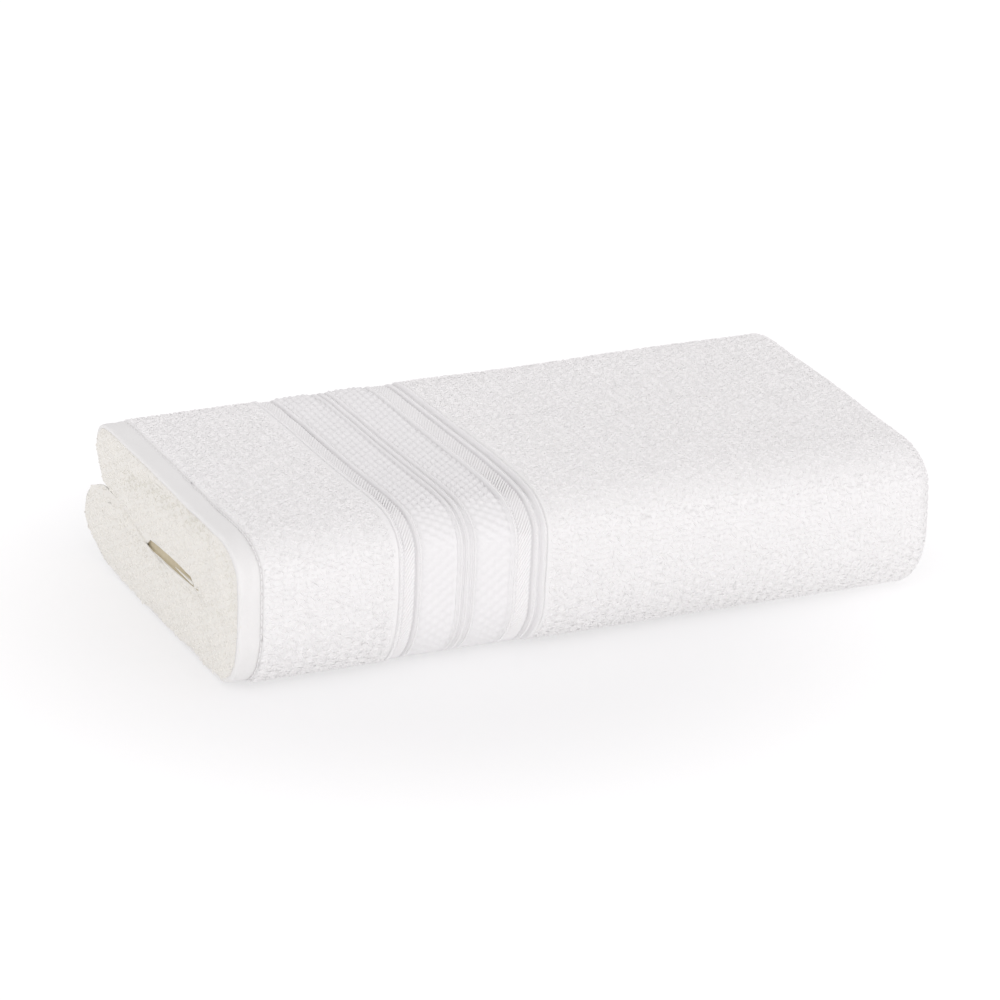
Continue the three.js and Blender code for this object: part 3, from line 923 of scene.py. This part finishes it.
def border_piece():
    """The woven band: its relief on top, and a plain underside that follows the folds."""
    shares = border_columns()
    places = even(*BORDER_RANGE, 1.1)
    bottom_start, bottom_end = SPAN["bottom_run"]
    flat = (places > bottom_start + 6) & (places < bottom_end - 6)
    places = places[~(flat & (np.arange(len(places)) % 5 != 0))]
    share, s = np.meshgrid(shares, places, indexing="ij")
    x = border_x(share, s)
    rest = pressed(s)
    edge = np.clip(np.minimum(share - BORDER_EDGES[0], BORDER_EDGES[1] - share) / 0.006, 0, 1)
    depth = border_depth(share, x, s)
    depth = (depth * edge + 0.9 * (1 - edge)) * rest
    top = outer(x, s, depth)
    ends = [0, -1]
    under = outer(x[ends], s[ends], (BED_DEPTH - 0.1) * rest[ends])
    rows, count = x.shape
    vertices = np.concatenate([top.reshape(-1, 3), under.reshape(-1, 3)])
    grid = np.arange(rows * count).reshape(rows, count)
    low, high = rows * count + np.arange(count), (rows + 1) * count + np.arange(count)
    sides = []
    for a, b in ((grid[-1], high), (high, low), (low, grid[0])):
        sides.append(np.stack([a[:-1], a[1:], b[1:], b[:-1]], 1))
    start = np.concatenate([grid[:, 0], high[:1], low[:1]])[None]
    end = np.concatenate([grid[::-1, -1], low[-1:], high[-1:]])[None]
    quads = np.concatenate([grid_quads(rows, count), *sides])
    u, v = np.meshgrid(np.linspace(0.01, 0.9, rows), np.linspace(0.01, 0.99, count), indexing="ij")
    uv = np.concatenate([np.stack([u, v], -1).reshape(-1, 2)] + [
        np.stack([np.full(count, edge), np.linspace(0.01, 0.99, count)], 1) for edge in (0.98, 0.92)])
    band = make_mesh("border_band", vertices, [quads, start, end], uv)
    # The grooves' bottoms take darker cotton: painted shade, darkest in the wide grooves on the pack's top.
    middles, upper = (shares[:-1] + shares[1:]) / 2, on_top(places[:-1]) > 0.5
    look = np.zeros((rows - 1, count - 1), np.int32)
    for middle, half, bottom, dashed in GROOVES:
        wide = bottom > WIDE_GROOVE
        shade = np.where(upper, 2 if wide else int(dashed < 0.6 or middle > 0.5), int(wide))
        look[np.abs(middles - middle) < 0.6 * half] = shade
    look = np.concatenate([look.ravel(), np.zeros(len(band.data.polygons) - look.size, np.int32)])
    band.data.polygons.foreach_set("material_index", look)
    return band


border = border_piece()


def border_strands():
    """The yarns that show one by one: slanted strokes in the two strips, and twisted cords."""
    parts = []
    s_low, s_high = at("upper_return", 0.9), at("front_fold", 0.97)
    for start, end in STRIPS:
        s0 = np.arange(s_low + 12, s_high, STROKE_PITCH)
        t = np.linspace(0, 1, 6)
        width = (end - start) * BORDER_WIDTH
        s = s0[:, None] - t * width * math.tan(STROKE_SLANT) + random.normal(0, 0.12, (len(s0), 1))
        share = np.broadcast_to(start + (end - start) * t, s.shape)
        height = -strip_depth(s) - 0.45 + 0.45 * on_top(s) + 0.08 * np.sin(math.pi * t)
        points, normals = lines_on(border_x(share, s), s, height)
        parts.append(tubes(points, normals, STROKE_RADIUS, 6))
    for middle, half, top in RIDGES:
        s = np.arange(s_low, s_high, CORD_STEP)
        radius = half * BORDER_WIDTH * 0.5
        for ply in (0, math.pi):
            angle = 2 * math.pi * s / CORD_TWIST + ply
            x = border_x(middle, s) + radius * 0.7 * np.cos(angle)
            height = -top - radius * 0.2 + radius * 0.55 * np.sin(angle)
            points, normals = lines_on(x[None], s[None], height[None])
            parts.append(tubes(points, normals, radius * 0.62, 4))
    points, faces = join(parts)
    return make_mesh("border_yarns", points, faces, plain_uv(points), smooth=False)


yarns = border_strands()


def hem_stitches():
    """A row of lockstitches along the hem."""
    line = LEFT + HEM - 0.9
    length, gap = 2.6, 0.7
    s0 = np.arange(at("upper_fold", 0.2), at("front_fold", 0.97), length + gap)
    t = np.linspace(0, 1, 6)
    s = s0[:, None] + t * length
    a = np.full(s.shape, line) + np.sin(t * math.pi) * 0.05
    sag = CLOTH / 2 - 0.95
    height = -sag + 0.42 * np.sin(math.pi * t) - 0.08
    points, normals = lines_on(a, s, height)
    points, faces = tubes(points, normals, 0.27, 4)
    return make_mesh("hem_stitches", points, faces, plain_uv(points))


stitches = hem_stitches()


# ---- materials
def nodes_of(material):
    material.use_nodes = True
    tree = material.node_tree
    tree.nodes.clear()
    return tree, lambda kind, **sockets: add_node(tree, kind, sockets)


def add_node(tree, kind, sockets):
    node = tree.nodes.new(kind)
    for key, value in sockets.items():
        name = key.replace("_", " ")
        if isinstance(value, bpy.types.NodeSocket):
            tree.links.new(value, node.inputs[name])
        else:
            node.inputs[name].default_value = value
    return node


def vector_math(tree, operation, source, value):
    """The value of a vector operation between a socket and a fixed vector."""
    node = tree.nodes.new("ShaderNodeVectorMath")
    node.operation = operation
    tree.links.new(source, node.inputs[0])
    node.inputs[1].default_value = value
    return node.outputs["Value"]


def cotton(name, light, dark, cloud, sheen=0.25, bump=None):
    """Undyed cotton, faintly cloudy. Its bump, a grain of yarn, has a strength, a grain and a depth."""
    material = bpy.data.materials.new(name)
    tree, add = nodes_of(material)
    spot = add("ShaderNodeTexCoord").outputs["Object"]
    clouds = add("ShaderNodeTexNoise", Vector=spot, Scale=cloud, Detail=3.0, Roughness=0.6)
    tint = add("ShaderNodeMix", Factor=clouds.outputs["Fac"])
    tint.data_type = "RGBA"
    tint.inputs[6].default_value = (*dark, 1)
    tint.inputs[7].default_value = (*light, 1)
    shader = add("ShaderNodeBsdfPrincipled", Base_Color=tint.outputs[2], Roughness=0.93,
                 Specular_IOR_Level=0.15, Sheen_Weight=sheen, Sheen_Roughness=0.6)
    if bump:
        strength, grain, depth = bump
        weave = add("ShaderNodeTexNoise", Vector=spot, Scale=grain, Detail=2.0, Roughness=0.6)
        relief = add("ShaderNodeBump", Height=weave.outputs["Fac"], Strength=strength, Distance=depth)
        tree.links.new(relief.outputs["Normal"], shader.inputs["Normal"])
    add("ShaderNodeOutputMaterial", Surface=shader.outputs["BSDF"])
    return material


PILE_WHITE, PILE_SHADE = (0.868, 0.858, 0.860), (0.843, 0.833, 0.832)
# The end's pair is a warmer, darker copy of the pile's: painted warm bounce light and shade on the end face.
END_WHITE_PAINTED_WARM, END_DARK_PAINTED_WARM = (0.832, 0.813, 0.772), (0.805, 0.785, 0.743)
COTTONS = {  # light, dark, cloud, sheen, bump
    "terry_pile": (PILE_WHITE, PILE_SHADE, 70.0),
    "terry_end_painted_warm": (END_WHITE_PAINTED_WARM, END_DARK_PAINTED_WARM, 70.0),
    # painted shade for the end's creases
    "end_crease_painted_shade": ((0.785, 0.767, 0.715), (0.755, 0.737, 0.685), 70.0),
    "end_ground_painted_warm": (END_WHITE_PAINTED_WARM, END_DARK_PAINTED_WARM, 60.0, 0.25, (0.5, 420.0, 0.0004)),
    "terry_ground": (PILE_WHITE, PILE_SHADE, 60.0, 0.25, (0.5, 420.0, 0.0004)),
    "hem_weave": ((0.83, 0.82, 0.815), (0.80, 0.79, 0.785), 90.0, 0.25, (0.6, 500.0, 0.0005)),
    "slot_painted_shade": ((0.62, 0.55, 0.40), (0.50, 0.43, 0.29), 300.0, 0.1),
    "woven_border": ((0.85, 0.84, 0.845), (0.82, 0.81, 0.815), 80.0, 0.15, (0.35, 1600.0, 0.00015)),
    "groove_painted_shade": ((0.80, 0.79, 0.795), (0.77, 0.76, 0.765), 80.0, 0.1),
    "deep_groove_painted_shade": ((0.55, 0.54, 0.545), (0.51, 0.50, 0.505), 80.0, 0.1),
    "border_thread": ((0.89, 0.88, 0.885), (0.87, 0.86, 0.86), 90.0, 0.2),
}
cottons = {name: cotton(name, *values) for name, values in COTTONS.items()}
# Each piece with its looks, in the order of its material indices.
looks = [
    (cloth, "terry_ground", "hem_weave", "slot_painted_shade", "end_ground_painted_warm"),
    (border, "woven_border", "groove_painted_shade", "deep_groove_painted_shade"),
    (yarns, "border_thread"), (stitches, "border_thread"),
    *[(piece, "terry_pile") for piece in piles[:-1]], (piles[-1], "terry_end_painted_warm", "end_crease_painted_shade"),
]
for obj, *names in looks:
    for name in names:
        obj.data.materials.append(cottons[name])
# painted shade in the end's creases: their faces take a darker cotton, less often towards the creases' sides
faces = piles[-1].data.polygons
centres = np.empty(3 * len(faces))
faces.foreach_get("center", centres)
deep = crease(centres.reshape(-1, 3)[:, 1:] / MM)
faces.foreach_set("material_index", (deep > random.uniform(0.2, 1.8, len(deep))).astype(np.int32))
for obj in (cloth, border, yarns, stitches, *piles):
    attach(obj, "root")
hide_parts("towel")

# ---- the studio
FLOOR_SIZE = 14.0
floor_mesh = bpy.data.meshes.new("floor")
half = FLOOR_SIZE / 2
square = [(-half, -half, 0), (half, -half, 0), (half, half, 0), (-half, half, 0)]
floor_mesh.from_pydata(square, [], [(0, 1, 2, 3)])
floor = place_object("floor", floor_mesh)
floor.location.z = -0.0002
# The floor glows a little, a painted light, and glows less near the towel: painted shade round its base,
# added to the real contact shadow.
paper = bpy.data.materials.new("floor_paper_painted_glow")
tree, add = nodes_of(paper)
diffuse = add("ShaderNodeBsdfDiffuse", Color=(0.5, 0.495, 0.5, 1))
spot = add("ShaderNodeTexCoord").outputs["Object"]
distance = vector_math(tree, "DISTANCE", spot, (-0.055, -0.04, 0))
rise = add("ShaderNodeMapRange", Value=distance, From_Min=0.11, From_Max=0.29, To_Min=0.448, To_Max=0.60)
rise.interpolation_type = "SMOOTHSTEP"
glow = add("ShaderNodeEmission", Color=(1, 1, 1, 1), Strength=rise.outputs["Result"])
both = tree.nodes.new("ShaderNodeAddShader")
tree.links.new(diffuse.outputs[0], both.inputs[0])
tree.links.new(glow.outputs[0], both.inputs[1])
add("ShaderNodeOutputMaterial", Surface=both.outputs[0])
floor_mesh.materials.append(paper)

# The studio is a pale tent, brighter on the side that the camera stands on.
FRONT_GLOW = Vector((-0.35, -0.85, 0.4)).normalized()
world = bpy.data.worlds.new("studio")
bpy.context.scene.world = world
tree, add = nodes_of(world)
direction = add("ShaderNodeTexCoord").outputs["Generated"]
facing = vector_math(tree, "DOT_PRODUCT", direction, FRONT_GLOW)
glow = add("ShaderNodeMapRange", Value=facing, From_Min=0.3, From_Max=1.0, To_Min=0.726, To_Max=1.487)
sky = add("ShaderNodeBackground", Color=(1.0, 0.988, 0.995, 1), Strength=glow.outputs["Result"])
add("ShaderNodeOutputWorld", Surface=sky.outputs[0])

# ---- the camera
AZIMUTH, ELEVATION, ROLL = (math.radians(v) for v in (-24.24, 21.29, 0.96))
DISTANCE = 2.65972
AIM_RIGHT, AIM_UP, AIM_Z = -0.00268, -0.00899, 0.045
level = math.cos(ELEVATION)
back = Vector((math.sin(AZIMUTH) * level, -math.cos(AZIMUTH) * level, math.sin(ELEVATION)))
right = Vector((math.cos(AZIMUTH), math.sin(AZIMUTH), 0))
up = back.cross(right)
aim = Vector((0, 0, AIM_Z)) + right * AIM_RIGHT + up * AIM_UP
x_axis = right * math.cos(ROLL) + up * math.sin(ROLL)
y_axis = up * math.cos(ROLL) - right * math.sin(ROLL)
data = bpy.data.cameras.new("camera")
data.sensor_width = 36
data.lens = 203.07
data.clip_end = 100
camera = place_object("camera", data)
pose = Matrix((x_axis, y_axis, back)).transposed().to_4x4()
pose.translation = aim + back * DISTANCE
camera.matrix_world = pose
bpy.context.scene.camera = camera
bpy.context.scene.view_settings.view_transform = "Standard"
